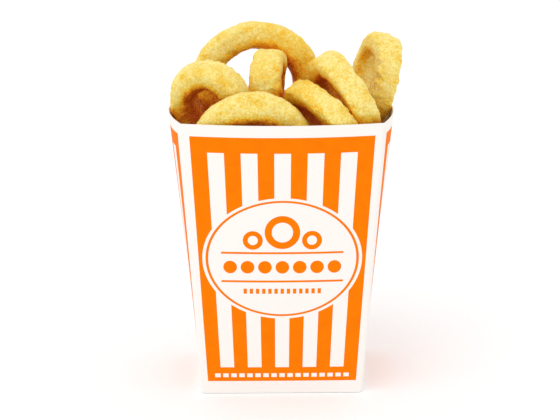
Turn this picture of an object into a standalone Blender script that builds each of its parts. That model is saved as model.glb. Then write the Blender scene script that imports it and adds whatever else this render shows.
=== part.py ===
"""Onion rings side: a tapered paperboard carton heaped with battered onion rings.

Run with blender --background --python part.py, or from Blender's text editor. Metres, +Z up.
The origin is the middle of the carton's base, the carton's front faces -Y, and +X is to the right.
The carton is one folded and glued sheet of board, so it is one solid. Every onion ring is a solid of its own.
"""

import math
from collections import namedtuple

import bmesh
import bpy
from mathutils import Vector

MM = 0.001

# The carton. Widths run along X and depths along Y, from fold to fold on the outside of the board.
CARTON_HEIGHT = 140 * MM
RIM_WIDTH, RIM_DEPTH = 97 * MM, 76 * MM
BASE_WIDTH, BASE_DEPTH = 81 * MM, 59 * MM
BOARD = 0.6 * MM
FOLD_RADIUS = 2.2 * MM
FRONT_BOW, SIDE_BOW = 5.5 * MM, 7.0 * MM  # how far the middle of the rim's edges is pushed out by the rings
FOLD_STEPS = 3  # chords round each vertical fold
PANEL_STEPS = 7  # strips across each panel
WALL_LEVELS = 6  # strips from base to rim

# The rings lower down, which nothing shows, are one solid that fills the carton up to this height.
FILLING_HEIGHT = 84 * MM
FILLING_GAP = 1.0 * MM
FILLING_HUMP = 3 * MM
FILLING_LEVELS = 3
FILLING_TOP_SHARES = (0.82, 0.6, 0.38, 0.16)

# The rings' faceting, and the roundness of their section: 2 is an ellipse, and more is squarer.
RING_STEPS, SECTION_STEPS = 30, 8
SECTION_POWER = 2.7
THREE_LUMPS, FIVE_LUMPS = 0.05, 0.03  # shares by which the band swells and shrinks round a ring
THREE_TURN, FIVE_TURN, WARP_TURN = 1.7, 2.9, 1.3  # radians by which each ring's lumps and warp are turned on

# One onion ring.
#   centre   of the ring, in mm from the carton's origin: right, back, up
#   facing   compass direction of the ring's axis in plan, in degrees from the front (-Y) towards the right
#   lean     how far that axis points up, in degrees: 0 stands upright, 90 lies flat
#   radius   of the middle of the band; wall is its thickness towards the axis, and width its height along it
#   oval     share by which the ring is longer than it is wide, along the direction oval_at, in degrees
#   warp     how far the band leaves its plane, in mm, twice up and twice down in a turn
Ring = namedtuple("Ring", "name centre facing lean radius wall width oval oval_at warp")

RINGS = (
    Ring("ring_back_arch", (-12, 28, 147), 0, 4, 25, 14, 14, 0.03, 0, 1.0),
    Ring("ring_left", (-34.4, -8.5, 143), -24, -14, 15, 12.5, 15.5, 0.03, 90, 0.8),
    Ring("ring_front", (-14, -31.5, 125.5), 0, -3, 21.8, 14.9, 11.5, 0.04, 0, 0.6),
    Ring("ring_centre_upright", (-6.3, 8.5, 147), 86, 0, 14.5, 11, 15.5, 0.0, 0, 0.5),
    Ring("ring_front_right", (19.8, -17, 136), -58, -34, 18, 11.5, 11.5, 0.04, 0, 0.6),
    Ring("ring_right_leaning", (31, -12.2, 146.2), -68, -28, 18.5, 11, 12, 0.04, 90, 0.6),
    Ring("ring_far_right", (47.1, 14.8, 151.1), -76, 12, 16.6, 11.5, 13.6, 0.08, 90, 0.6),
    Ring("ring_behind_left", (-38, 11, 118), -60, 78, 9, 9, 10, 0.04, 0, 0.4),
    Ring("ring_behind_right", (27, 19.5, 120.5), 150, 80, 12, 10.5, 11, 0.05, 0, 0.5),
    Ring("ring_under_left", (-25, -3, 103.5), -30, 76, 16.5, 11.5, 12.5, 0.05, 0, 1.0),
    Ring("ring_under_right", (22.5, 6, 101.5), 150, 78, 16.5, 11.5, 13, 0.05, 90, 1.0),
    Ring("ring_under_front", (30.5, -29.3, 105), 12, 0, 9, 10, 11, 0.05, 0, 0.5),
)


def clear_scene():
    for obj in list(bpy.data.objects):
        bpy.data.objects.remove(obj)


def new_collection(name):
    collection = bpy.data.collections.new(name)
    bpy.context.scene.collection.children.link(collection)
    return collection


def move_to(obj, collection):
    for owner in list(obj.users_collection):
        owner.objects.unlink(obj)
    collection.objects.link(obj)


def material(name, colour, roughness):
    made = bpy.data.materials.new(name)
    made.use_nodes = True
    shader = made.node_tree.nodes["Principled BSDF"]
    shader.inputs["Base Color"].default_value = (*colour, 1)
    shader.inputs["Roughness"].default_value = roughness
    shader.inputs["Metallic"].default_value = 0
    return made


def smooth(mesh, angle=40):
    mesh.shade_smooth()
    mesh.set_sharp_from_angle(angle=math.radians(angle))


def outline_points(half_width, half_depth, front_bow, side_bow):
    """Points round a carton of this size, counterclockwise from the front panel's left end."""
    inset_width, inset_depth = half_width - FOLD_RADIUS, half_depth - FOLD_RADIUS
    # For each panel: its outward and its left-to-right directions, its half run, its distance and its bow.
    panels = (
        (Vector((0, -1)), Vector((1, 0)), inset_width, half_depth, front_bow),
        (Vector((1, 0)), Vector((0, 1)), inset_depth, half_width, side_bow),
        (Vector((0, 1)), Vector((-1, 0)), inset_width, half_depth, front_bow),
        (Vector((-1, 0)), Vector((0, -1)), inset_depth, half_width, side_bow),
    )
    points = []
    for outward, along, run, distance, bow in panels:
        for step in range(PANEL_STEPS + 1):
            across = 2 * step / PANEL_STEPS - 1
            points.append(outward * (distance + bow * (1 - across**2)) + along * run * across)
        corner = outward * (distance - FOLD_RADIUS) + along * run
        for step in range(1, FOLD_STEPS):
            turn = math.radians(90 * step / FOLD_STEPS)
            points.append(corner + FOLD_RADIUS * (outward * math.cos(turn) + along * math.sin(turn)))
    return points


def carton_outline(level):
    """The outline at a level from 0, the base, to 1, the rim. The bow grows towards the open rim."""
    half_width = (BASE_WIDTH + (RIM_WIDTH - BASE_WIDTH) * level) / 2
    half_depth = (BASE_DEPTH + (RIM_DEPTH - BASE_DEPTH) * level) / 2
    return outline_points(half_width, half_depth, FRONT_BOW * level, SIDE_BOW * level)


def make_carton(collection):
    shell = bmesh.new()
    rows = []
    for n in range(WALL_LEVELS + 1):
        level = n / WALL_LEVELS
        rows.append([shell.verts.new((*point, CARTON_HEIGHT * level)) for point in carton_outline(level)])
    around = len(rows[0])
    for lower, upper in zip(rows, rows[1:]):
        for n in range(around):
            after = (n + 1) % around
            shell.faces.new((lower[n], lower[after], upper[after], upper[n]))
    shell.faces.new(reversed(rows[0]))
    mesh = bpy.data.meshes.new("carton")
    shell.to_mesh(mesh)
    shell.free()
    carton = bpy.data.objects.new("carton", mesh)
    collection.objects.link(carton)
    board = carton.modifiers.new("board", "SOLIDIFY")
    board.thickness = BOARD
    board.offset = -1
    board.use_even_offset = True
    smooth(mesh)
    mesh.materials.append(material("carton_board", (0.92, 0.9, 0.87), 0.55))
    return carton


def make_filling(collection):
    """The rings below, out of sight, as one solid from the carton's base up to their uneven top."""
    filling = bmesh.new()
    inset = BOARD + FILLING_GAP
    rows = []
    for n in range(FILLING_LEVELS + 1):
        height = inset + (FILLING_HEIGHT - inset) * n / FILLING_LEVELS
        rows.append([(point * fit(point, inset), height) for point in carton_outline(height / CARTON_HEIGHT)])
    edge = rows[-1]
    for share in FILLING_TOP_SHARES:
        rows.append([(point * share, height + filling_bump(point * share)) for point, height in edge])
    verts = [[filling.verts.new((*point, height)) for point, height in row] for row in rows]
    around = len(verts[0])
    for lower, upper in zip(verts, verts[1:]):
        for n in range(around):
            after = (n + 1) % around
            filling.faces.new((lower[n], lower[after], upper[after], upper[n]))
    filling.faces.new(reversed(verts[0]))
    filling.faces.new(verts[-1])
    mesh = bpy.data.meshes.new("rings_below")
    filling.to_mesh(mesh)
    filling.free()
    obj = bpy.data.objects.new("rings_below", mesh)
    collection.objects.link(obj)
    smooth(mesh, 60)
    mesh.materials.append(material("deep_crust", (0.55, 0.3, 0.08), 0.7))
    return obj


def fit(point, inset):
    """The share that draws an outline's point in by the inset."""
    return 1 - inset / point.length


def filling_bump(point):
    """How far the filling's top stands above its edge: low humps where the rings below lie."""
    humps = math.sin(point.x / (9 * MM) + 0.6) * math.cos(point.y / (8 * MM) - 0.4)
    return FILLING_HUMP * (1 + humps)


def superellipse(angle, half_wall, half_width):
    """A point of the band's section: how far out from the ring's middle line, and how far along the axis."""
    power = 2 / SECTION_POWER
    out = math.copysign(abs(math.cos(angle)) ** power, math.cos(angle))
    along = math.copysign(abs(math.sin(angle)) ** power, math.sin(angle))
    return out * half_wall, along * half_width


def make_ring(ring, number, crust, collection):
    radius, wall, width, warp = (size * MM for size in (ring.radius, ring.wall, ring.width, ring.warp))
    bpy.ops.mesh.primitive_torus_add(
        major_segments=RING_STEPS, minor_segments=SECTION_STEPS, major_radius=radius, minor_radius=wall / 2
    )
    obj = bpy.context.active_object
    obj.name = obj.data.name = ring.name
    for vertex in obj.data.vertices:
        around = math.atan2(vertex.co.y, vertex.co.x)
        section = math.atan2(vertex.co.z, math.hypot(vertex.co.x, vertex.co.y) - radius)
        swell = 1 + THREE_LUMPS * math.sin(3 * around + THREE_TURN * number)
        swell += FIVE_LUMPS * math.sin(5 * around + FIVE_TURN * number)
        out, along = superellipse(section, swell * wall / 2, swell * width / 2)
        oval = 1 + ring.oval * math.cos(2 * (around - math.radians(ring.oval_at)))
        reach = radius * oval + out
        bend = warp * math.cos(2 * around + WARP_TURN * number)
        vertex.co = (reach * math.cos(around), reach * math.sin(around), along + bend)
    obj.location = Vector(ring.centre) * MM
    obj.rotation_euler = (math.radians(90 - ring.lean), 0, math.radians(ring.facing))
    smooth(obj.data, 60)
    obj.data.materials.append(crust)
    move_to(obj, collection)
    return obj


def main():
    clear_scene()
    parts = new_collection("onion_rings_side")
    make_carton(parts)
    make_filling(parts)
    crust = material("fried_crust", (0.78, 0.55, 0.2), 0.6)
    for number, ring in enumerate(RINGS):
        make_ring(ring, number, crust, parts)


main()
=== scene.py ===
"""The looks of an onion rings side: a striped paperboard carton heaped with battered, fried onion rings.

Every ring of the frame is replaced by a crumb-coated mesh that follows the ring's own run and thickness, the
carton by a printed board shell with folds, a glue flap and base flaps, and the filling by a core with small
rings on it.
"""

import logging
import math
import random
from collections.abc import Callable, Iterable, Sequence
from dataclasses import dataclass
from enum import Enum

import bmesh
import bpy
import numpy as np
from mathutils import Matrix, Vector, noise
from mathutils.bvhtree import BVHTree


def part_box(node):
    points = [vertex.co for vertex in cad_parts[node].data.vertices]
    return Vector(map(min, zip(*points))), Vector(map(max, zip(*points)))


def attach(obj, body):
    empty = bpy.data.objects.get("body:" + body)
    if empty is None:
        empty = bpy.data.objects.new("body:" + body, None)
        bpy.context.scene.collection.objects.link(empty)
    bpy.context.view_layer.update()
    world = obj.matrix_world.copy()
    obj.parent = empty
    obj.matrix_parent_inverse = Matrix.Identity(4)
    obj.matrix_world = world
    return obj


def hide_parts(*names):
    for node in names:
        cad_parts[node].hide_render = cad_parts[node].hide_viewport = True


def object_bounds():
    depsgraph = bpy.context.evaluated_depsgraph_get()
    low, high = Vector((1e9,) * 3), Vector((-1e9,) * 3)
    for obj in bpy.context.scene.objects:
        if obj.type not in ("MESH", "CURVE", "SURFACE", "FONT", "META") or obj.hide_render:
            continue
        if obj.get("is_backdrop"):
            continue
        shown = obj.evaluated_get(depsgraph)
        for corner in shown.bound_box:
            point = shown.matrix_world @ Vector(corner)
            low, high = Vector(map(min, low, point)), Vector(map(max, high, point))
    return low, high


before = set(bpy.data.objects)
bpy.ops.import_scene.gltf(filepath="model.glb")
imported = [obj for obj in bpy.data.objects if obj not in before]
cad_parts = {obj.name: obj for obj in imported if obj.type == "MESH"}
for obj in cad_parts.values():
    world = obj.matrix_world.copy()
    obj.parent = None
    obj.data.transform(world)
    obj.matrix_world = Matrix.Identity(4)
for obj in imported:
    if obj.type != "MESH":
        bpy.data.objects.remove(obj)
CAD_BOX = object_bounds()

log = logging.getLogger("onion_rings_side")

MM = 0.001
BODY = "root"
FOLD_ANGLE = 48  # degrees beyond which an edge is shaded as a sharp one

DETAIL = 3.0  # octaves of the noises that show most
GRIT = 0.6  # how strong the finest octaves of a gritty noise are
NOISE_MEAN = 0.5  # about what a shader noise gives on average

Colour = tuple[float, float, float]
Traits = dict[str, object]


# -------------------------------------------------------------------------------------- shader expressions


class Value:
    """A number in a material's nodes. Arithmetic on it adds Math nodes."""

    def __init__(self, bench: "Bench", source: bpy.types.NodeSocket) -> None:
        """Wraps a node's output.

        Args:
            bench: The material's node bench that new nodes go to.
            source: The output socket that carries the number.
        """
        self.bench = bench
        self.source = source

    def _math(self, operation: str, *operands: "Value | float") -> "Value":
        """Adds one Math node.

        Args:
            operation: Blender's name of the operation.
            operands: Its inputs in order.

        Returns:
            The node's result.
        """
        node = self.bench.add("ShaderNodeMath", {"operation": operation}, dict(enumerate(operands)))
        return Value(self.bench, node.outputs[0])

    def __add__(self, other: "Value | float") -> "Value":
        """Sum."""
        return self._math("ADD", self, other)

    __radd__ = __add__

    def __sub__(self, other: "Value | float") -> "Value":
        """Difference."""
        return self._math("SUBTRACT", self, other)

    def __rsub__(self, other: float) -> "Value":
        """Difference from a plain number."""
        return self._math("SUBTRACT", other, self)

    def __mul__(self, other: "Value | float") -> "Value":
        """Product."""
        return self._math("MULTIPLY", self, other)

    def __truediv__(self, other: "Value | float") -> "Value":
        """Quotient."""
        return self._math("DIVIDE", self, other)

    def __pow__(self, other: "Value | float") -> "Value":
        """Power."""
        return self._math("POWER", self, other)

    def __abs__(self) -> "Value":
        """Magnitude."""
        return self._math("ABSOLUTE", self)

    def __lt__(self, other: "Value | float") -> "Value":
        """1 where this is below the other, and 0 elsewhere."""
        return self._math("LESS_THAN", self, other)

    def __gt__(self, other: "Value | float") -> "Value":
        """1 where this is above the other, and 0 elsewhere."""
        return self._math("GREATER_THAN", self, other)

    def __or__(self, other: "Value") -> "Value":
        """The larger of two masks."""
        return self._math("MAXIMUM", self, other)

    def wrap(self, pitch: float) -> "Value":
        """How far this is past the last whole pitch, from 0 to the pitch."""
        return self._math("WRAP", self, pitch, 0.0)

    def ramp(self, low: float, high: float) -> "Value":
        """Turns this into a smooth rise.

        Args:
            low: Where the rise starts from 0.
            high: Where it reaches 1.

        Returns:
            The rise, which stays at 0 and at 1 beyond its ends.
        """
        settings = {"interpolation_type": "SMOOTHSTEP", "clamp": True}
        sockets = {"Value": self, "From Min": low, "From Max": high}
        node = self.bench.add("ShaderNodeMapRange", settings, sockets)
        return Value(self.bench, node.outputs["Result"])


class Bench:
    """The node tree of one material, with its shader ready."""

    def __init__(self, name: str) -> None:
        """Makes a material with a Principled shader.

        Args:
            name: The material's name.
        """
        self.material = bpy.data.materials.new(name)
        self.material.use_nodes = True
        self.tree = self.material.node_tree
        self.shader = self.tree.nodes["Principled BSDF"]

    def add(self, node_type: str, settings: dict[str, object], sockets: dict) -> bpy.types.Node:
        """Adds a node.

        Args:
            node_type: Blender's type name of the node.
            settings: The node's own properties, which are set first.
            sockets: Values or links by input name or number.

        Returns:
            The new node.
        """
        node = self.tree.nodes.new(node_type)
        for key, value in settings.items():
            setattr(node, key, value)
        for key, value in sockets.items():
            self.feed(node.inputs[key], value)
        return node

    def feed(self, socket: bpy.types.NodeSocket, value: object) -> None:
        """Fills an input socket.

        Args:
            socket: The input.
            value: A Value or an output to link to it, or a plain value to set it to.
        """
        if isinstance(value, Value):
            value = value.source
        if isinstance(value, bpy.types.NodeSocket):
            self.tree.links.new(value, socket)
        elif isinstance(value, tuple) and len(value) == 3 and socket.type == "RGBA":
            socket.default_value = (*value, 1.0)
        else:
            socket.default_value = value

    def place(self) -> bpy.types.NodeSocket:
        """The surface's place in its object, in metres."""
        return self.add("ShaderNodeTexCoord", {}, {}).outputs["Object"]

    def attribute(self, name: str) -> Value:
        """A number stored on the mesh."""
        node = self.add("ShaderNodeAttribute", {"attribute_name": name}, {})
        return Value(self, node.outputs["Fac"])

    def noise(self, size: float, detail: float = 2.0, roughness: float = 0.5) -> Value:
        """Noise whose features are about this size, in metres."""
        sockets = {"Vector": self.place(), "Scale": 1 / size, "Detail": detail, "Roughness": roughness}
        return Value(self, self.add("ShaderNodeTexNoise", {}, sockets).outputs["Fac"])

    def cells(self, size: float) -> Value:
        """Distance to the nearest of scattered points, as a share of this size, in metres."""
        sockets = {"Vector": self.place(), "Scale": 1 / size}
        return Value(self, self.add("ShaderNodeTexVoronoi", {}, sockets).outputs["Distance"])

    def mix(self, below: object, above: object, share: Value | float) -> bpy.types.NodeSocket:
        """One colour laid over another by a share from 0 to 1."""
        node = self.add("ShaderNodeMix", {"data_type": "RGBA"}, {"Factor": share, 6: below, 7: above})
        return node.outputs[2]

    def bump(self, height: Value, depth: float) -> None:
        """Feeds the shader's normal with a relief of this depth, in metres."""
        node = self.add("ShaderNodeBump", {}, {"Height": height, "Distance": depth, "Strength": 1.0})
        self.feed(self.shader.inputs["Normal"], node.outputs["Normal"])


# ------------------------------------------------------------------------------------------------ finishes


@dataclass(frozen=True)
class CrustFinish:
    """Fried batter: pale gold where smooth, deeper gold to brown on edges and crumbs, and painted shade in
    the holes.

    The shares say how much each noise moves the frying and painted shade, and the spans where each colour
    comes in.
    """

    name: str
    pale: Colour = (0.95, 0.785, 0.28)
    gold: Colour = (0.875, 0.63, 0.10)
    amber: Colour = (0.89, 0.49, 0.012)
    brown: Colour = (0.78, 0.27, 0.004)
    dark: Colour = (0.55, 0.11, 0.003)
    roughness: float = 0.55
    patch_size: float = 8 * MM
    mottle_size: float = 2.4 * MM
    crumb_size: float = 0.8 * MM
    sand_size: float = 1.2 * MM
    speck_size: float = 4.5 * MM
    speck_reach: float = 0.09
    patch_share: float = 0.45
    mottle_share: float = 0.75
    crumb_share: float = 1.0
    sand_share: float = 0.5
    sand_level: float = 0.42
    speck_share: float = 0.5
    gold_span: tuple[float, float] = (-0.02, 0.36)
    amber_span: tuple[float, float] = (0.34, 0.72)
    brown_span: tuple[float, float] = (0.7, 1.1)
    dark_span: tuple[float, float] = (1.1, 1.6)
    roughness_spread: float = 0.16
    relief: float = 0.42 * MM
    subsurface: float = 0.2
    subsurface_scale: float = 2.5 * MM
    subsurface_radius: Colour = (1.0, 0.45, 0.12)
    specular: float = 0.3

    def make(self) -> bpy.types.Material:
        """Makes the material.

        Returns:
            The crust's material. It reads how far each place is fried, plus painted shade, from an attribute
            of the mesh.
        """
        bench = Bench(self.name)
        patches = bench.noise(self.patch_size, DETAIL)
        mottle = bench.noise(self.mottle_size, DETAIL, GRIT)
        crumbs = bench.noise(self.crumb_size, roughness=GRIT)
        sand = bench.cells(self.sand_size) - self.sand_level
        grains = (patches - NOISE_MEAN) * self.patch_share + (mottle - NOISE_MEAN) * self.mottle_share
        grains = grains + (crumbs - NOISE_MEAN) * self.crumb_share + sand * self.sand_share
        specks = (bench.cells(self.speck_size) < self.speck_reach) * self.speck_share
        # Besides the frying, the mesh's attribute holds painted shade.
        fried = bench.attribute("browning_and_shade") + grains + specks
        colour = bench.mix(self.pale, self.gold, fried.ramp(*self.gold_span))
        colour = bench.mix(colour, self.amber, fried.ramp(*self.amber_span))
        colour = bench.mix(colour, self.brown, fried.ramp(*self.brown_span))
        colour = bench.mix(colour, self.dark, fried.ramp(*self.dark_span))
        bench.feed(bench.shader.inputs["Base Color"], colour)
        bench.feed(bench.shader.inputs["Roughness"], self.roughness + crumbs * self.roughness_spread)
        bench.bump(crumbs + mottle / 2 - sand / 2, self.relief)
        shader = bench.shader.inputs
        shader["Subsurface Weight"].default_value = self.subsurface
        shader["Subsurface Scale"].default_value = self.subsurface_scale
        shader["Subsurface Radius"].default_value = self.subsurface_radius
        shader["Specular IOR Level"].default_value = self.specular
        return bench.material


class Artwork(Enum):
    """What is printed on a panel, with its margin as a share of half the panel's width."""

    MEDALLION = 0.905
    STRIPES_ONLY = 0.86


@dataclass(frozen=True)
class DashRow:
    """A printed row of plain dashes, centred on a panel. A dash fills a share of the pitch."""

    count: int
    pitch: float
    share: float
    half_height: float

    def mask(self, side: Value, up: Value) -> Value:
        """Marks the dashes.

        Args:
            side: Distance from the panel's middle line.
            up: Height above the row's own middle line.

        Returns:
            1 on a dash, and 0 elsewhere.
        """
        dashes = abs((side + self.pitch / 2).wrap(self.pitch) - self.pitch / 2) < self.pitch * self.share / 2
        return dashes * (abs(up) < self.half_height) * (abs(side) < self.count * self.pitch / 2)


@dataclass(frozen=True)
class BoardFinish:
    """Coated white board. Its printed panels carry a frame and stripes that taper with the panel.

    The rules, dots and dashes of the medallion are placed by their heights above the middle of its oval. Each
    kind of hoop has its height there, its radius and its line's width.
    """

    white: Colour = (0.92, 0.885, 0.845)
    ink: Colour = (0.965, 0.205, 0.0006)
    edge: Colour = (0.86, 0.82, 0.76)
    worn_share: float = 0.93
    worn_size: float = 5 * MM
    roughness: float = 0.5
    specular: float = 0.03
    fibre_size: float = 0.8 * MM
    bare_fibre_size: float = 1.1 * MM
    cut_fibre_size: float = 0.4 * MM
    bare_share: float = 0.35
    wave_size: float = 14 * MM
    fibre_roughness: float = 0.06
    wave_roughness: float = 0.1
    fibre_relief: float = 0.3
    wave_relief: float = 2.0
    relief: float = 0.05 * MM
    foot: float = 6.8 * MM
    head: float = 134.3 * MM
    band: float = 7.7 * MM
    oval_height: float = 72.9 * MM
    oval_half: tuple[float, float] = (38.6 * MM, 31.5 * MM)
    line_half: tuple[float, float] = (36.4 * MM, 29.7 * MM)
    line: float = 1.05 * MM
    rules: tuple[float, float] = (3.3 * MM, -11.6 * MM)
    rule_half: float = 29.5 * MM
    large_hoop: tuple[float, float, float] = (14.0 * MM, 6.8 * MM, 3.4 * MM)
    small_hoop: tuple[float, float, float] = (9.9 * MM, 3.6 * MM, 2.4 * MM)
    small_hoop_side: float = 14.2 * MM
    dot_count: int = 7
    dot_pitch: float = 8.4 * MM
    dot_radius: float = 3.3 * MM
    dot_height: float = -4.1 * MM
    dashes: DashRow = DashRow(13, 3.0 * MM, 0.55, 1.35 * MM)
    dash_height: float = -16.8 * MM
    foot_dashes: DashRow = DashRow(17, 4.0 * MM, 0.68, 1.05 * MM)
    foot_dash_share: float = 0.42

    def _surface(self, bench: Bench, colour: object) -> bpy.types.Material:
        """Gives a bench the board's coated surface.

        Args:
            bench: The material's node bench.
            colour: The colour or link for the shader's base colour.

        Returns:
            The material.
        """
        fibres = bench.noise(self.fibre_size)
        waves = bench.noise(self.wave_size, 1.0)
        bench.feed(bench.shader.inputs["Base Color"], colour)
        bench.feed(bench.shader.inputs["Roughness"], self._coated(waves, fibres))
        bench.bump(fibres * self.fibre_relief + waves * self.wave_relief, self.relief)
        bench.shader.inputs["Specular IOR Level"].default_value = self.specular
        return bench.material

    def _coated(self, waves: Value, fibres: Value) -> Value:
        """The coating's roughness, from the board's waves and fibres."""
        return self.roughness + waves * self.wave_roughness + fibres * self.fibre_roughness

    def plain(self) -> bpy.types.Material:
        """Makes the bare board of the inside, the folds and the flaps.

        Returns:
            The material.
        """
        bench = Bench("board_plain")
        fibres = bench.noise(self.bare_fibre_size, DETAIL)
        share = fibres.ramp(0.5, 0.9) * self.bare_share
        return self._surface(bench, bench.mix(self.white, self.edge, share))

    def raw_edge(self) -> bpy.types.Material:
        """Makes the cut edge of the board, where its grey-cream core shows.

        Returns:
            The material.
        """
        bench = Bench("board_edge")
        fibres = bench.noise(self.cut_fibre_size, DETAIL)
        return self._surface(bench, bench.mix(self.edge, self.white, fibres.ramp(0.35, 0.65)))

    def printed(
        self, name: str, rim: float, base: float, stripes: int, artwork: Artwork
    ) -> bpy.types.Material:
        """Makes a printed panel, whose ink follows the "across" and "height" values that the mesh holds.

        Args:
            name: The material's name.
            rim: Half the panel's width at the rim, in metres.
            base: Half its width at the base.
            stripes: Number of stripes, inked and white by turns, with inked ones first and last.
            artwork: What is printed: stripes alone, or stripes with the medallion and the dashes at the foot.

        Returns:
            The material.
        """
        bench = Bench(name)
        across, height = bench.attribute("across"), bench.attribute("height")
        half = base + height * ((rim - base) / Carton.height)
        side = across * half
        share = (across / artwork.value + 1) * (stripes / 2)
        inked = share.wrap(2.0) < 1.0
        bands = (height > self.head - self.band) | (height < self.foot + self.band)
        frame_mask = (abs(across) < artwork.value) * (height > self.foot) * (height < self.head)
        ink = (inked | bands) * frame_mask
        if artwork is Artwork.MEDALLION:
            dashes = self.foot_dashes.mask(side, height - (self.foot + self.band * self.foot_dash_share))
            up = height - self.oval_height
            oval = (side / self.oval_half[0]) ** 2.0 + (up / self.oval_half[1]) ** 2.0 < 1.0
            ink = ink * (1 - dashes) * (1 - oval) | self._medallion(side, up)
        worn = bench.noise(self.worn_size, DETAIL)
        worn_ink = tuple(v * self.worn_share for v in self.ink)
        ink_colour = bench.mix(self.ink, worn_ink, worn.ramp(0.35, 0.7))
        return self._surface(bench, bench.mix(self.white, ink_colour, ink))

    def _hoop(self, side: Value, up: Value, radius: float, line: float) -> Value:
        """A plain printed ring of this radius and line width."""
        return abs((side**2.0 + up**2.0) ** 0.5 - radius) < line / 2

    def _medallion(self, side: Value, up: Value) -> Value:
        """Marks what the white oval holds: a fine oval line, two rules, three rings, dots and dashes.

        Args:
            side: Distance from the panel's middle line.
            up: Height above the oval's middle.

        Returns:
            1 on the ink, and 0 elsewhere.
        """
        a, b = self.line_half
        spread = ((side / a) ** 2.0 + (up / b) ** 2.0) ** 0.5
        mask = abs(spread - 1.0) * b < self.line / 2
        for rule in self.rules:
            mask = mask | (abs(up - rule) < self.line / 2) * (abs(side) < self.rule_half)
        rise, radius, line = self.large_hoop
        mask = mask | self._hoop(side, up - rise, radius, line)
        rise, radius, line = self.small_hoop
        mask = mask | self._hoop(abs(side) - self.small_hoop_side, up - rise, radius, line)
        pitch = self.dot_pitch
        along = (side + pitch / 2).wrap(pitch) - pitch / 2
        dot = (along**2.0 + (up - self.dot_height) ** 2.0) ** 0.5 < self.dot_radius
        mask = mask | dot * (abs(side) < self.dot_count * pitch / 2)
        return mask | self.dashes.mask(side, up - self.dash_height)


@dataclass(frozen=True)
class FloorFinish:
    """A pale studio floor."""

    colour: Colour = (0.95, 0.95, 0.95)
    roughness: float = 0.9
    specular: float = 0.1

    def make(self) -> bpy.types.Material:
        """Makes the floor's material.

        Returns:
            The material.
        """
        bench = Bench("studio_floor")
        bench.shader.inputs["Base Color"].default_value = (*self.colour, 1.0)
        bench.shader.inputs["Roughness"].default_value = self.roughness
        bench.shader.inputs["Specular IOR Level"].default_value = self.specular
        return bench.material


# --------------------------------------------------------------------------------------------- mesh making


def mesh_piece(name: str, mesh: bpy.types.Mesh, replaced: Sequence[str] = ()) -> bpy.types.Object:
    """Puts a mesh in the scene as a piece of the object.

    Args:
        name: The piece's name.
        mesh: Its mesh, in the frame's coordinates.
        replaced: The frame's nodes that it stands for.

    Returns:
        The new object.
    """
    piece = bpy.data.objects.new(name, mesh)
    bpy.context.scene.collection.objects.link(piece)
    mesh.shade_smooth()
    mesh.set_sharp_from_angle(angle=math.radians(FOLD_ANGLE))
    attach(piece, BODY)
    if replaced:
        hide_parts(*replaced)
    log.info("%s: %d faces", name, len(mesh.polygons))
    return piece


def wrapped_grid(name: str, points: np.ndarray, closed: bool = True) -> bpy.types.Mesh:
    """Joins a grid of points into a surface. Each row closes on itself, from its last point to its first.

    Args:
        name: The mesh's name.
        points: Rows by points of a row by 3, in metres.
        closed: Whether the last row is joined to the first one too, as in a ring.

    Returns:
        The mesh, which holds the points row after row.
    """
    rows, columns = points.shape[:2]
    index = np.arange(rows * columns).reshape(rows, columns)
    last = rows if closed else rows - 1
    here, after = index[:last], np.roll(index, -1, 0)[:last]
    faces = np.stack([here, after, np.roll(after, -1, 1), np.roll(here, -1, 1)], -1).reshape(-1, 4)
    mesh = bpy.data.meshes.new(name)
    mesh.from_pydata(points.reshape(-1, 3).tolist(), [], faces.tolist())
    return mesh


def store(mesh: bpy.types.Mesh, name: str, values: np.ndarray) -> None:
    """Stores a number for each vertex of a mesh under a name."""
    layer = mesh.attributes.new(name, "FLOAT", "POINT")
    layer.data.foreach_set("value", np.ascontiguousarray(values, dtype=np.float32).ravel())


def field_at(points: np.ndarray, size: float, seed: Vector, kind: Callable[[Vector], float]) -> np.ndarray:
    """Reads a noise at many points.

    Args:
        points: Any number of points by 3, in metres.
        size: The size of the noise's features, in metres.
        seed: An offset that sets one piece's noise apart from another's.
        kind: The noise, which takes a point and gives a number.

    Returns:
        One number for each point.
    """
    scaled = points.reshape(-1, 3) / size + np.array(seed)
    return np.array([kind(Vector(point)) for point in scaled]).reshape(points.shape[:-1])


def crumb_noise(point: Vector) -> float:
    """Round grains: 1 at a grain's middle, falling to 0 between grains."""
    distances, _ = noise.voronoi(point)
    return max(0.0, 1.0 - GRAIN_FALL * distances[0])


# --------------------------------------------------------------------------------------------- onion rings


COURSE_STEPS = 48  # places round a ring where its course is measured
COURSE_WAVES = 8  # waves of the smooth curves that join them
THREE_LUMPS, FIVE_LUMPS, OVAL = 0.06, 0.04, 0.05  # unevenness of the small rings on the core
LUMP_TURN, OVAL_TURN = 300, 200  # radians by which a metre's move turns their lumps and their ovals
SEED_STEPS = (7.3, 3.1, 5.7)  # how far apart two rings' noises are read
PATCH_OFFSET = Vector((40, 0, 0))

# How rough the batter is: everywhere, and what its patches, its edges and the hole's edges add.
ROUGH_START, ROUGH_PATCHES, ROUGH_EDGES, ROUGH_HOLE_EDGES = 0.35, 1.3, 0.4, 0.8
ROUGH_LEAST, ROUGH_MOST = 0.12, 1.6
EDGE_POWER, EDGE_PEAK = 1.5, 2.2  # how sharply the band's edges stand out as edges, and how much
GRAIN_FALL = 1.6  # how fast a grain falls away from its middle
GRAIN_MEAN = 0.25
CRAG_START = 0.6  # how craggy the batter is where it isn't rough
RIDGE_LEVEL = 0.25
FLARE_LEVEL, FLARE_MOST = 0.4, 1.2

# How far the rest of the heap covers the batter, tried with rays from every few points; this is painted as
# shade.
COVER_STRIDE = 4
COVER_START, COVER_REACH = 1.2 * MM, 26 * MM
COVER_LEAN = 1.1
COVER_SMOOTHINGS = 2
COVER_GAIN, COVER_LEVEL, COVER_MOST = 1.6, 0.45, 1.1
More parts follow.
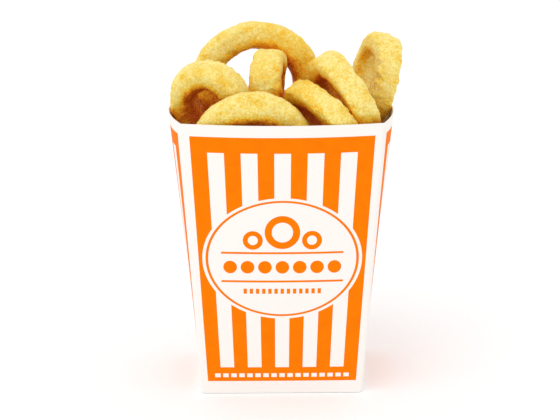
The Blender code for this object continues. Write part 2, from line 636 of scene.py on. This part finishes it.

# How much the batter is fried brown: everywhere, between its grains, and on its patches' and its hole's
# edges.
BROWN_START, BROWN_GRAINS, BROWN_GRAIN_LEVEL = 0.08, 0.35, 0.3
BROWN_EDGE_GRAINS, BROWN_PATCHES = 0.5, 0.45
HOLE_POWER, UNDER_POWER = 1.5, 1.3  # how soon the painted shade fades out of the hole and from underneath

SIDES = tuple(Vector(side) for side in ((1, 0, 0), (-1, 0, 0), (0, 1, 0), (0, -1, 0), (0, 0, 1), (0, 0, -1)))


class Grade(Enum):
    """How finely a ring is made: steps round the ring, and steps round its section."""

    SHOWN = (320, 110)
    COVERED = (176, 60)
    DEEP = (110, 40)


@dataclass
class RingCourse:
    """The run of one ring: its plane, and its middle line and thickness at even steps round it."""

    centre: Vector
    turn: Matrix
    radius: np.ndarray
    lift: np.ndarray
    half_wall: np.ndarray
    half_width: np.ndarray

    @classmethod
    def of_node(cls, node: str) -> "RingCourse":
        """Measures a ring of the frame.

        Args:
            node: The node's name.

        Returns:
            The ring's course.
        """
        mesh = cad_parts[node].data
        points = np.array([vertex.co[:] for vertex in mesh.vertices])
        low, high = points.min(0), points.max(0)
        middle = points.mean(0)
        spread = points - middle
        _, turned = np.linalg.eigh(spread.T @ spread)
        axis = Vector(turned[:, 0])
        if axis.y > 0:
            axis = -axis
        first = axis.orthogonal().normalized()
        second = axis.cross(first)
        turn = Matrix((first, second, axis)).transposed()
        tree = BVHTree.FromPolygons([v.co for v in mesh.vertices], [p.vertices[:] for p in mesh.polygons])
        reach = float(np.linalg.norm(high - low))
        centre = Vector(middle)
        angles = [math.tau * n / COURSE_STEPS for n in range(COURSE_STEPS)]
        found = [cls._measure(tree, centre, turn, angle, reach) for angle in angles]
        radius, lift, wall, width = (np.array(column) for column in zip(*found))
        return cls(centre, turn, radius, lift, wall, width)

    @staticmethod
    def _measure(
        tree: BVHTree, centre: Vector, turn: Matrix, angle: float, reach: float
    ) -> tuple[float, float, float, float]:
        """Measures a ring's section at one angle.

        Args:
            tree: The ring's shape.
            centre: The ring's middle.
            turn: The ring's own directions as columns, with its axis last.
            angle: Where round the ring, in radians.
            reach: A distance that is sure to be outside the ring.

        Returns:
            The radius of the section's middle, its lift along the axis, and half its wall and half its width.
        """
        outward = turn @ Vector((math.cos(angle), math.sin(angle), 0))
        axis = turn.col[2]
        inner = (tree.ray_cast(centre, outward)[0] - centre).dot(outward)
        outer = (tree.ray_cast(centre + outward * reach, -outward)[0] - centre).dot(outward)
        middle = centre + outward * ((inner + outer) / 2)
        top = (tree.ray_cast(middle + axis * reach, -axis)[0] - centre).dot(axis)
        bottom = (tree.ray_cast(middle - axis * reach, axis)[0] - centre).dot(axis)
        return (inner + outer) / 2, (top + bottom) / 2, (outer - inner) / 2, (top - bottom) / 2

    @classmethod
    def plain(cls, centre: Vector, turn: Matrix, radius: float, wall: float, width: float) -> "RingCourse":
        """Lays out a slightly uneven round ring, for those that the frame doesn't hold one by one.

        Args:
            centre: The ring's middle.
            turn: The ring's own directions as columns, with its axis last.
            radius: Radius of the middle of its band.
            wall: Thickness of the band towards the axis.
            width: Width of the band along the axis.

        Returns:
            The ring's course.
        """
        angles = np.linspace(0, math.tau, COURSE_STEPS, endpoint=False)
        swell = 1 + THREE_LUMPS * np.sin(3 * angles + centre.x * LUMP_TURN)
        swell = swell + FIVE_LUMPS * np.sin(5 * angles + centre.y * LUMP_TURN)
        oval = 1 + OVAL * np.cos(2 * angles + centre.x * OVAL_TURN)
        flat = np.zeros_like(angles)
        return cls(centre, turn, radius * oval, flat, wall / 2 * swell, width / 2 * swell)

    def at(self, angles: np.ndarray) -> list[np.ndarray]:
        """Reads the course between the places that were measured.

        Args:
            angles: Places round the ring, in radians.

        Returns:
            Radius, lift, half wall and half width at each, as smooth curves that meet after a turn.
        """
        results = []
        for values in (self.radius, self.lift, self.half_wall, self.half_width):
            waves = np.fft.rfft(values) / len(values)
            total = np.full_like(angles, waves[0].real)
            for n in range(1, COURSE_WAVES + 1):
                total += 2 * (waves[n].real * np.cos(n * angles) - waves[n].imag * np.sin(n * angles))
            results.append(total)
        return results


@dataclass
class Band:
    """A ring's smooth band, in rows round the ring with a column for each step round its section.

    Attributes:
        out: Place in the section, from -1 in the hole to 1 on the outside.
        edge: How near the band's four edges a point is, up to about 1.
        outward: Direction away from the ring's middle, for each row.
        points: The band's points, in the ring's own directions.
        lean: Direction out of the band at each point.
    """

    out: np.ndarray
    edge: np.ndarray
    outward: np.ndarray
    points: np.ndarray
    lean: np.ndarray


@dataclass
class Coating:
    """The noises that make a band's batter uneven, and how rough it is, at each point of the band."""

    lumps: np.ndarray
    crags: np.ndarray
    grains: np.ndarray
    patches: np.ndarray
    rough: np.ndarray


@dataclass
class OnionRing:
    """One battered ring: a smooth band with lumps, crags and crumbs, fried brown on its edges, with painted
    shade in its hole.

    Where other rings lie close over the batter it is shut in, and painted shade turns it a deep amber there.

    Attributes:
        squareness: Shape of the band's section: 2 is an ellipse, and more is squarer.
        skin: How far the batter stands out of the frame's ring everywhere.
        highest: The most that it stands out anywhere.
        outer_ridge: How far the outer edges flare on the right of the heap.
        inward: How much thicker the band is on the side of its hole.
        darker_sides: Directions towards which the ring's colour is darker, and how much, by their lengths.
        brown: How much browner it is everywhere; on the rings deep in the heap this is painted shade.
        replaced: The frame's nodes that it stands for.
    """

    name: str
    course: RingCourse
    seed: int
    grade: Grade = Grade.SHOWN
    squareness: float = 2.6
    skin: float = 0.25 * MM
    highest: float = 0.9 * MM
    lump: float = 0.7 * MM
    lump_size: float = 8.5 * MM
    crag: float = 0.20 * MM
    crag_size: float = 3.0 * MM
    crumb: float = 0.28 * MM
    crumb_size: float = 1.1 * MM
    patch_size: float = 6 * MM
    ridge: float = 0.40 * MM
    outer_ridge: float = 0.0
    # Painted shade in the hole and on faces that look down; a negative share lightens the hole.
    hole_shade: float = 0.32
    underside_shade: float = 0.28
    edge_brown: float = 0.35
    # Painted shade where the rest of the heap closes over the batter.
    shut_in_shade: float = 0.9
    inward: float = 0.0
    darker_sides: tuple[tuple[float, float, float], ...] = ()
    brown: float = 0.0
    replaced: tuple[str, ...] = ()

    def _section(self, angles: np.ndarray) -> tuple[np.ndarray, np.ndarray]:
        """Lays out a unit section that is squarer than a circle.

        Args:
            angles: Places round the section, in radians.

        Returns:
            How far out each place is, and how far along the ring's axis.
        """
        power = 2 / self.squareness
        out = np.sign(np.cos(angles)) * np.abs(np.cos(angles)) ** power
        along = np.sign(np.sin(angles)) * np.abs(np.sin(angles)) ** power
        return out, along

    def _band(self) -> Band:
        """Lays the smooth band along the ring's course.

        Returns:
            The band.
        """
        steps, section_steps = self.grade.value
        around = np.linspace(0, math.tau, steps, endpoint=False)[:, None]
        section = np.linspace(0, math.tau, section_steps, endpoint=False)[None, :]
        radius, lift, half_wall, half_width = self.course.at(around)
        out, along = self._section(section)
        outward = np.concatenate([np.cos(around), np.sin(around), np.zeros_like(around)], 1)[:, None, :]
        axis = np.array([0.0, 0.0, 1.0])
        reach = (radius + half_wall * out - self.inward * np.clip(-out, 0, 1))[..., None]
        rise = (lift + half_width * along)[..., None]
        lean = out[..., None] * half_width[..., None] * outward
        lean = lean + along[..., None] * half_wall[..., None] * axis
        lean /= np.linalg.norm(lean, axis=-1, keepdims=True)
        edge = (np.abs(out) * np.abs(along)) ** EDGE_POWER * EDGE_PEAK
        return Band(out, edge, outward, reach * outward + rise * axis, lean)

    def _coating(self, band: Band) -> Coating:
        """Reads the noises of the batter.

        Args:
            band: The ring's smooth band.

        Returns:
            The noises and the roughness, at each point of the band.
        """
        seed = Vector([self.seed * step for step in SEED_STEPS])
        lumps = field_at(band.points, self.lump_size, seed, noise.noise)
        crags = field_at(band.points, self.crag_size, seed, noise.noise)
        grains = field_at(band.points, self.crumb_size, seed, crumb_noise)
        patches = field_at(band.points, self.patch_size, seed + PATCH_OFFSET, noise.noise)
        hole_edge = band.edge * (band.out < 0)
        rough = ROUGH_START + ROUGH_PATCHES * patches + ROUGH_EDGES * band.edge + ROUGH_HOLE_EDGES * hole_edge
        return Coating(lumps, crags, grains, patches, np.clip(rough, ROUGH_LEAST, ROUGH_MOST))

    def _raised(self, band: Band, coating: Coating, spokes: np.ndarray) -> np.ndarray:
        """Works out how far the batter stands out of the smooth band.

        Args:
            band: The ring's smooth band.
            coating: The batter's noises.
            spokes: Direction away from the ring's middle in the heap, for each row of the band.

        Returns:
            The height of the batter at each point of the band.
        """
        ridges = band.edge * np.clip(coating.crags + RIDGE_LEVEL, 0, 1)
        raised = self.lump * coating.lumps + self.crag * coating.crags * (CRAG_START + coating.rough)
        raised += self.crumb * (coating.grains - GRAIN_MEAN) * coating.rough + self.ridge * ridges
        flare = np.clip(FLARE_LEVEL + coating.lumps + coating.crags, 0, FLARE_MOST)
        flare = flare * np.clip(spokes[..., 0], 0, 1)
        raised += self.outer_ridge * band.edge * (band.out > 0) * flare
        return np.minimum(raised + self.skin, self.highest)

    def _browning_and_shade(
        self, band: Band, coating: Coating, spokes: np.ndarray, facing: np.ndarray, shut: np.ndarray
    ) -> np.ndarray:
        """Works out how far the batter is fried, adding painted shade in its hole, underneath and where the
        heap covers it.

        Args:
            band: The ring's smooth band.
            coating: The batter's noises.
            spokes: Direction away from the ring's middle in the heap, for each row of the band.
            facing: Direction out of the batter in the heap, at each point.
            shut: How far each point is shut in by the rest of the heap.

        Returns:
            0 where the batter is pale, and about 1 where it is brown, at each point of the band.
        """
        hole = np.clip(-band.out, 0, 1)
        under = np.clip(-facing[..., 2], 0, 1)
        hole_edge = band.edge * (band.out < 0)
        # Painted shade: darker in the hole and on faces that look down.
        browning_and_shade = BROWN_START + self.hole_shade * hole**HOLE_POWER + self.underside_shade * under**UNDER_POWER
        browning_and_shade = browning_and_shade - BROWN_GRAINS * (coating.grains - BROWN_GRAIN_LEVEL) * coating.rough
        # Painted shade where the heap covers the batter.
        browning_and_shade += self.shut_in_shade * shut + hole_edge * (self.edge_brown + BROWN_EDGE_GRAINS * coating.grains)
        # Darker towards each of the ring's given sides.
        for side in self.darker_sides:
            browning_and_shade += np.clip(spokes @ np.array(side), 0, None) ** 2
        return browning_and_shade + BROWN_PATCHES * np.clip(coating.patches, 0, 1) * band.edge + self.brown

    def _shut_in(self, placed: np.ndarray, outward: np.ndarray, heap: BVHTree) -> np.ndarray:
        """How far each place of the ring is covered by the rest of the heap.

        Args:
            placed: The ring's points.
            outward: The direction out of the batter at each.
            heap: The heap's shape.

        Returns:
            For each point a share from 0, in the open, to 1, shut in all round.
        """
        coarse = placed[::COVER_STRIDE, ::COVER_STRIDE]
        leaning = outward[::COVER_STRIDE, ::COVER_STRIDE]
        covered = np.zeros(coarse.shape[:2])
        for place in np.ndindex(covered.shape):
            way = Vector(leaning[place])
            start = Vector(coarse[place]) + way * COVER_START
            rays = [(way + side * COVER_LEAN).normalized() for side in SIDES] + [way]
            hits = sum(heap.ray_cast(start, ray, COVER_REACH)[0] is not None for ray in rays)
            covered[place] = hits / len(rays)
        for _ in range(COVER_SMOOTHINGS):
            covered = (covered + np.roll(covered, 1, 0) + np.roll(covered, -1, 0)) / 3
            covered = (covered + np.roll(covered, 1, 1) + np.roll(covered, -1, 1)) / 3
        return self._spread(covered, placed.shape[:2])

    @staticmethod
    def _spread(values: np.ndarray, shape: tuple[int, int]) -> np.ndarray:
        """Spreads a coarse grid that closes on itself both ways over a finer one.

        Args:
            values: The coarse grid.
            shape: The finer grid's rows and columns.

        Returns:
            The finer grid.
        """
        for way, count in enumerate(shape):
            known = values.shape[way]
            at = np.arange(count) * known / count
            low = at.astype(int)
            share = (at - low).reshape([-1, 1] if way == 0 else [1, -1])
            values = np.take(values, low, way) * (1 - share) + np.take(values, (low + 1) % known, way) * share
        return values

    def build(self, crust: bpy.types.Material, heap: BVHTree) -> bpy.types.Object:
        """Builds the ring.

        Args:
            crust: The material of its batter.
            heap: The shape of the whole heap.

        Returns:
            The ring's piece.
        """
        band = self._band()
        coating = self._coating(band)
        turned = np.array(self.course.turn).T
        spokes = band.outward @ turned
        facing = band.lean @ turned
        local = band.points + self._raised(band, coating, spokes)[..., None] * band.lean
        placed = local @ turned + np.array(self.course.centre)
        mesh = wrapped_grid(self.name, placed)
        # How far the heap closes over each place, to be painted as shade.
        shut = np.clip(self._shut_in(placed, facing, heap) * COVER_GAIN - COVER_LEVEL, 0, COVER_MOST)
        store(mesh, "browning_and_shade", self._browning_and_shade(band, coating, spokes, facing, shut))
        mesh.materials.append(crust)
        return mesh_piece(self.name, mesh, self.replaced)


@dataclass
class Heap:
    """All the rings that the frame holds, and what is below them in the carton."""

    shown: dict[str, Traits]
    covered: dict[str, Traits]
    filling: str = "rings_below"
    site_columns: int = 3
    site_rows: int = 2
    site_gap: float = 29 * MM
    row_gap: float = 32 * MM
    small_radius: float = 9.4 * MM
    small_wall: float = 9.6 * MM
    thinnest: float = 0.92
    width_share: float = 1.05
    most_tip: float = 16
    site_drop: float = 6 * MM
    site_sway_mm: tuple[float, float] = (-2, 1)
    # Painted shade on the small rings, deep in the carton.
    small_ring_shade: float = 0.35
    small_seed: int = 40
    draw_seed: int = 11
    sunk: float = 9 * MM
    # Painted shade on the core, deep in the carton.
    core_shade: float = 1.1

    def build(self, crust: bpy.types.Material, deep: bpy.types.Material) -> list[bpy.types.Object]:
        """Builds every ring and the core.

        Args:
            crust: The material of the rings.
            deep: The core's darker material, which paints shade deep in the carton.

        Returns:
            The pieces.
        """
        pieces = []
        heap = self._shape()
        for seed, (node, traits) in enumerate((*self.shown.items(), *self.covered.items())):
            grade = Grade.SHOWN if node in self.shown else Grade.COVERED
            course = RingCourse.of_node(node)
            ring = OnionRing(f"battered_{node}", course, seed, grade, replaced=(node,), **traits)
            pieces.append(ring.build(crust, heap))
        pieces.append(self._core(deep))
        pieces.extend(self._small_rings(crust, heap))
        return pieces

    def _shape(self) -> BVHTree:
        """Gathers the carton and everything in it.

        Returns:
            Their shape as one tree, which rays can be cast at.
        """
        points, faces = [], []
        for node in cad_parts.values():
            faces += [[len(points) + n for n in polygon.vertices] for polygon in node.data.polygons]
            points += [vertex.co.copy() for vertex in node.data.vertices]
        return BVHTree.FromPolygons(points, faces)

    def _core(self, deep: bpy.types.Material) -> bpy.types.Object:
        """Builds the filling's own shape with its top sunk, so that real rings lie on it.

        Args:
            deep: The core's darker material, which paints shade deep in the carton.

        Returns:
            The core's piece.
        """
        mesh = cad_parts[self.filling].data.copy()
        mesh.name = "heap_core"
        mesh.materials.clear()
        mesh.materials.append(deep)
        top = max(vertex.co.z for vertex in mesh.vertices)
        for vertex in mesh.vertices:
            vertex.co.z -= self.sunk * max(0.0, vertex.co.z / top)
        # The core is darkened all over as painted shade.
        store(mesh, "browning_and_shade", np.full(len(mesh.vertices), self.core_shade))
        return mesh_piece("heap_core", mesh, (self.filling,))

    def _small_rings(self, crust: bpy.types.Material, heap: BVHTree) -> Iterable[bpy.types.Object]:
        """Builds small rings that lie on the core in rows, each tipped its own way.

        Args:
            crust: The material of the rings.
            heap: The shape of the whole heap.

        Yields:
            Each ring's piece.
        """
        low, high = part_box(self.filling)
        middle = (low + high) / 2
        draw = random.Random(self.draw_seed)
        for n in range(self.site_columns * self.site_rows):
            column, row = n % self.site_columns, n // self.site_columns
            side = (column - (self.site_columns - 1) / 2) * self.site_gap
            back = (row - (self.site_rows - 1) / 2) * self.row_gap
            tip = Matrix.Rotation(math.radians(draw.uniform(-self.most_tip, self.most_tip)), 3, "X")
            tip = tip @ Matrix.Rotation(math.radians(draw.uniform(-self.most_tip, self.most_tip)), 3, "Y")
            height = high.z - self.site_drop + draw.uniform(*self.site_sway_mm) * MM
            centre = Vector((middle.x + side, middle.y + back, height))
            wall = self.small_wall * draw.uniform(self.thinnest, 1.0)
            course = RingCourse.plain(centre, tip, self.small_radius, wall, wall * self.width_share)
            name = f"small_ring_{n + 1}"
            ring = OnionRing(name, course, self.small_seed + n, Grade.DEEP, brown=self.small_ring_shade)
            yield ring.build(crust, heap)


# -------------------------------------------------------------------------------------------------- carton


FRONT_PRINT, SIDE_PRINT, CUT_EDGE = 1, 2, 3  # the shell's finishes after the bare board, in order


@dataclass
class Carton:
    """A folded board carton: four tapered panels bowed at the rim, a glue flap inside, and a base of flaps.

    Pairs of sizes are for the front and back panels, and for the side panels. The rim and the base are half
    widths and half depths from fold to fold, and the lip and the flap's levels are shares of the height.
    """

    height: float = 140 * MM
    rim: tuple[float, float] = (48.5 * MM, 38 * MM)
    base: tuple[float, float] = (40.5 * MM, 29.5 * MM)
    bow: tuple[float, float] = (5.5 * MM, 7.0 * MM)
    board: float = 0.6 * MM
    fold_radius: float = 2.2 * MM
    fold_columns: int = 6
    panel_columns: int = 26
    rows: int = 46
    lip_rise: float = 0.0006
    lip_shares: tuple[float, float] = (0.25, 0.75)
    flap_columns: int = 3
    flap_levels: tuple[float, float] = (0.03, 0.98)
    flap_board: float = 0.45 * MM
    flap_gap: float = 0.05 * MM
    slit: float = 0.5 * MM
    inner_flap_share: float = 0.92
    corner_segments: int = 4
    stripes: tuple[int, int] = (11, 9)

    def _sides(self, panel: int) -> tuple[Vector, Vector, int, int]:
        """Tells which way a panel faces.

        Args:
            panel: 0 is the front, and the others follow counterclockwise from above.

        Returns:
            Its outward and its left-to-right directions, and which of a pair of sizes is its run, and which
            its distance from the carton's middle.
        """
        outward = (Vector((0, -1)), Vector((1, 0)), Vector((0, 1)), Vector((-1, 0)))[panel]
        along = Vector((-outward.y, outward.x))
        return outward, along, panel % 2, 1 - panel % 2

    def outline(self, level: float, inset: float) -> list[tuple[Vector, float, int]]:
        """The carton's outline at one level.

        Args:
            level: 0 at the base to 1 at the rim.
            inset: How far inside the board's outer face the outline runs.

        Returns:
            For each point its place in plan, its place across its panel from -1 to 1, and its panel, or -1 on
            a fold.
        """
        half = [low + (high - low) * level for low, high in zip(self.base, self.rim)]
        points = []
        for panel in range(4):
            outward, along, run_of, far_of = self._sides(panel)
            run, far = half[run_of] - self.fold_radius, half[far_of] - inset
            bow = self.bow[run_of] * level
            for step in range(self.panel_columns + 1):
                across = 2 * step / self.panel_columns - 1
                place = outward * (far + bow * (1 - across**2)) + along * run * across
                points.append((place, across * run / half[run_of], panel))
            corner = outward * (half[far_of] - self.fold_radius) + along * run
            radius = self.fold_radius - inset
            for step in range(1, self.fold_columns):
                turn = math.radians(90 * step / self.fold_columns)
                place = corner + radius * (outward * math.cos(turn) + along * math.sin(turn))
                points.append((place, 1.0, -1))
        return points

    def _wall_rows(self) -> list[tuple[float, float]]:
        """Lists the rows of the shell: up the outside, over the rim, and down the inside.

        Returns:
            Each row's level, from 0 at the base to 1 at the rim, and its inset.
        """
        outside = [(n / self.rows, 0.0) for n in range(self.rows + 1)]
        lip = [(1 + self.lip_rise, self.board * share) for share in self.lip_shares]
        inside = [(1 - n / self.rows, self.board) for n in range(self.rows + 1)]
        return outside + lip + inside

    def build(self, board: BoardFinish) -> list[bpy.types.Object]:
        """Builds the shell and its flaps.

        Args:
            board: The finish of the board.

        Returns:
            The carton's pieces.
        """
        rows = self._wall_rows()
        grid, across, heights = [], [], []
        panels: list[int] = []
        for level, inset in rows:
            outline = self.outline(level, inset)
            grid.append([(*point, level * self.height) for point, _, _ in outline])
            across.append([share for _, share, _ in outline])
            heights.append([level * self.height] * len(outline))
            panels = [panel for _, _, panel in outline]
        mesh = wrapped_grid("board_carton", np.array(grid), closed=False)
        store(mesh, "across", np.array(across))
        store(mesh, "height", np.array(heights))
        front = board.printed("print_front", self.rim[0], self.base[0], self.stripes[0], Artwork.MEDALLION)
        side = board.printed("print_side", self.rim[1], self.base[1], self.stripes[1], Artwork.STRIPES_ONLY)
        for material in (board.plain(), front, side, board.raw_edge()):
            mesh.materials.append(material)
        columns = len(panels)
        for face in mesh.polygons:
            row, column = divmod(min(face.vertices), columns)
            ends = {panels[vertex % columns] for vertex in face.vertices}
            if row < self.rows and len(ends) == 1 and -1 not in ends:
                face.material_index = SIDE_PRINT if ends.pop() % 2 else FRONT_PRINT
            elif self.rows <= row <= self.rows + len(self.lip_shares):
                face.material_index = CUT_EDGE
        self._close_foot(mesh, columns)
        shell = mesh_piece("board_carton", mesh, ("carton",))
        return [shell, self._glue_flap(board), *self._base_flaps(board)]

    def _close_foot(self, mesh: bpy.types.Mesh, columns: int) -> None:
        """Joins the outer and the inner wall along the foot, where the carton stands.

        Args:
            mesh: The shell, which is changed.
            columns: How many points a row of it has.
        """
        work = bmesh.new()
        work.from_mesh(mesh)
        work.verts.ensure_lookup_table()
        first = [work.verts[n] for n in range(columns)]
        last = [work.verts[len(work.verts) - columns + n] for n in range(columns)]
        for n in range(columns):
            after = (n + 1) % columns
            work.faces.new((first[after], first[n], last[n], last[after]))
        bmesh.ops.recalc_face_normals(work, faces=work.faces)
        work.to_mesh(mesh)
        work.free()

    def _glue_flap(self, board: BoardFinish) -> bpy.types.Object:
        """Builds the flap that is glued inside the back panel, along its fold with the side.

        Args:
            board: The finish of the board.

        Returns:
            The flap's piece.
        """
        near = self.board + self.flap_gap
        low, high = self.flap_levels
        rows = []
        for n in range(self.rows + 1):
            level = low + (high - low) * n / self.rows
            inner = [point for point, _, panel in self.outline(level, near) if panel == 2]
            deep = [point for point, _, panel in self.outline(level, near + self.flap_board) if panel == 2]
            loop = inner[-self.flap_columns :] + deep[-self.flap_columns :][::-1]
            rows.append([(*point, level * self.height) for point in loop])
        mesh = wrapped_grid("glue_flap", np.array(rows), closed=False)
        cap_ends(mesh, len(rows[0]))
        mesh.materials.append(board.plain())
        return mesh_piece("glue_flap", mesh)

    def _base_flaps(self, board: BoardFinish) -> list[bpy.types.Object]:
        """Builds the base: two outer flaps that meet along a slit, and two inner ones on top of them.

        Args:
            board: The finish of the board.

        Returns:
            The flaps' pieces.
        """
        half_width, half_depth = (half - self.board - self.flap_gap for half in self.base)
        outer_depth = half_depth - self.slit / 2
        inner_width = half_width * self.inner_flap_share
        above = self.flap_board + self.flap_gap
        places = {
            "base_flap_front": (0, -half_depth + outer_depth / 2, 0, half_width * 2, outer_depth),
            "base_flap_back": (0, half_depth - outer_depth / 2, 0, half_width * 2, outer_depth),
            "base_flap_left": (-half_width + inner_width / 2, 0, above, inner_width, half_depth * 2),
            "base_flap_right": (half_width - inner_width / 2, 0, above, inner_width, half_depth * 2),
        }
        pieces = []
        for name, (x, y, z, width, depth) in places.items():
            work = bmesh.new()
            bmesh.ops.create_cube(work, size=1)
            middle = Vector((x, y, z + self.flap_board / 2))
            work.transform(Matrix.Translation(middle) @ Matrix.Diagonal((width, depth, self.flap_board, 1)))
            rises = {edge: abs(edge.verts[0].co.z - edge.verts[1].co.z) for edge in work.edges}
            upright = [edge for edge, rise in rises.items() if rise > self.flap_board / 2]
            round_off = self.fold_radius - self.board
            steps = self.corner_segments
            bmesh.ops.bevel(work, geom=upright, offset=round_off, segments=steps, affect="EDGES")
            mesh = bpy.data.meshes.new(name)
            work.to_mesh(mesh)
            work.free()
            mesh.materials.append(board.plain())
            pieces.append(mesh_piece(name, mesh))
        return pieces


def cap_ends(mesh: bpy.types.Mesh, columns: int) -> None:
    """Closes the two ends of a tube that is made of rows.

    Args:
        mesh: The tube, which is changed.
        columns: How many points a row of it has.
    """
    work = bmesh.new()
    work.from_mesh(mesh)
    work.verts.ensure_lookup_table()
    work.faces.new([work.verts[n] for n in range(columns)])
    work.faces.new([work.verts[len(work.verts) - columns + n] for n in range(columns)])
    bmesh.ops.recalc_face_normals(work, faces=work.faces)
    work.to_mesh(mesh)
    work.free()


# -------------------------------------------------------------------------------------------------- studio


@dataclass(frozen=True)
class Studio:
    """The floor, the soft white light and the camera.

    Angles are in degrees, the lens and the sensor in millimetres, and the key light in watts a square metre.
    """

    azimuth: float = -1.0
    elevation: float = 16.3
    distance: float = 0.668
    target: tuple[float, float, float] = (-0.0005, 0.0, 0.087)
    lens: float = 85.0
    sensor: float = 36.0
    floor_size: float = 60.0
    floor_gap: float = 0.2 * MM
    key_from: tuple[float, float, float] = (-0.5, -0.62, 1.3)
    key_strength: float = 0.5
    key_spread: float = 42
    ambient: float = 1.0

    def build(self) -> None:
        """Makes the studio."""
        self._floor()
        self._sky()
        self._key_light()
        self._camera()

    def _floor(self) -> None:
        """A wide pale floor under the object."""
        bpy.ops.mesh.primitive_plane_add(size=self.floor_size)
        floor = bpy.context.active_object
        floor.name = "studio_floor"
        floor.location.z = CAD_BOX[0].z - self.floor_gap
        floor.data.materials.append(FloorFinish().make())
        floor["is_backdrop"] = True

    def _sky(self) -> None:
        """Even white light from all round."""
        world = bpy.data.worlds.new("studio")
        world.use_nodes = True
        world.node_tree.nodes["Background"].inputs["Color"].default_value = (1, 1, 1, 1)
        world.node_tree.nodes["Background"].inputs["Strength"].default_value = self.ambient
        bpy.context.scene.world = world

    def _key_light(self) -> None:
        """A wide soft sun from the front left."""
        lamp = bpy.data.lights.new("key_light", "SUN")
        lamp.energy = self.key_strength
        lamp.angle = math.radians(self.key_spread)
        holder = bpy.data.objects.new("key_light", lamp)
        holder.location = self.key_from
        holder.rotation_euler = Vector(self.key_from).to_track_quat("Z", "Y").to_euler()
        bpy.context.scene.collection.objects.link(holder)

    def _camera(self) -> None:
        """A long-lens camera a little above the carton's rim."""
        camera = bpy.data.cameras.new("camera")
        camera.lens = self.lens
        camera.sensor_width = self.sensor
        holder = bpy.data.objects.new("camera", camera)
        turn, rise = math.radians(self.azimuth), math.radians(self.elevation)
        back = Vector((math.sin(turn) * math.cos(rise), -math.cos(turn) * math.cos(rise), math.sin(rise)))
        holder.location = Vector(self.target) + back * self.distance
        holder.rotation_euler = (-back).to_track_quat("-Z", "Y").to_euler()
        bpy.context.scene.collection.objects.link(holder)
        bpy.context.scene.camera = holder


# What sets each of the frame's rings apart from a plain one, by the names of OnionRing's fields.
SHOWN_RINGS = {
    "ring_back_arch": {
        "squareness": 2.9,
        "hole_shade": 0.2,
        "underside_shade": 0.2,
        "edge_brown": 0.15,
        "shut_in_shade": 0.6,
        "darker_sides": ((0.5, 0.0, 0.22), (-0.75, 0.0, -0.85)),
    },
    "ring_left": {
        "squareness": 2.7,
        "ridge": 0.5 * MM,
        "edge_brown": 0.55,
        "darker_sides": ((-0.45, 0.0, -0.5),),
    },
    "ring_front": {"inward": 0.6 * MM, "hole_shade": 0.2, "edge_brown": 0.7, "shut_in_shade": 0.4},
    "ring_centre_upright": {
        "brown": 0.06,
        "crumb": 0.36 * MM,
        "crag": 0.34 * MM,
        "darker_sides": ((0.3, 0.0, -0.9), (0.45, 0.0, 0.2)),
    },
    "ring_front_right": {
        "squareness": 3.0,
        "ridge": 0.5 * MM,
        "hole_shade": 0.8,
        "edge_brown": 0.95,
        "darker_sides": ((-0.8, 0.0, 0.1),),
    },
    "ring_right_leaning": {"squareness": 3.0, "hole_shade": 0.75, "edge_brown": 0.7},
    "ring_far_right": {
        "squareness": 2.9,
        "skin": -0.4 * MM,
        "outer_ridge": 1.8 * MM,
        "highest": 1.6 * MM,
        "hole_shade": -0.1,
        "shut_in_shade": 0.2,
        "darker_sides": ((0.3, 0.0, -0.45),),
    },
}
# The covered rings are made browner all over as painted shade, deep in the heap.
COVERED_RINGS = {
    "ring_behind_left": {"brown": 0.85},
    "ring_behind_right": {"brown": 0.6},
    "ring_under_left": {"brown": 0.7},
    "ring_under_right": {"brown": 0.7},
    "ring_under_front": {"brown": 0.7},
}


def main() -> None:
    """Builds the object and its studio."""
    logging.basicConfig(level=logging.INFO, format="%(name)s: %(message)s")
    bpy.context.scene.view_settings.view_transform = "Standard"
    Studio().build()
    crust = CrustFinish("fried_crust").make()
    # A darker crust for the core, as painted shade deep in the carton.
    deep = CrustFinish("deep_crust", pale=(0.6, 0.3, 0.05), gold=(0.5, 0.2, 0.02)).make()
    Heap(SHOWN_RINGS, COVERED_RINGS).build(crust, deep)
    Carton().build(BoardFinish())
    boxes = {"cad": CAD_BOX, "visual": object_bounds()}
    {name: [list(corner) for corner in box] for name, box in boxes.items()}


if __name__ == "__main__":
    main()
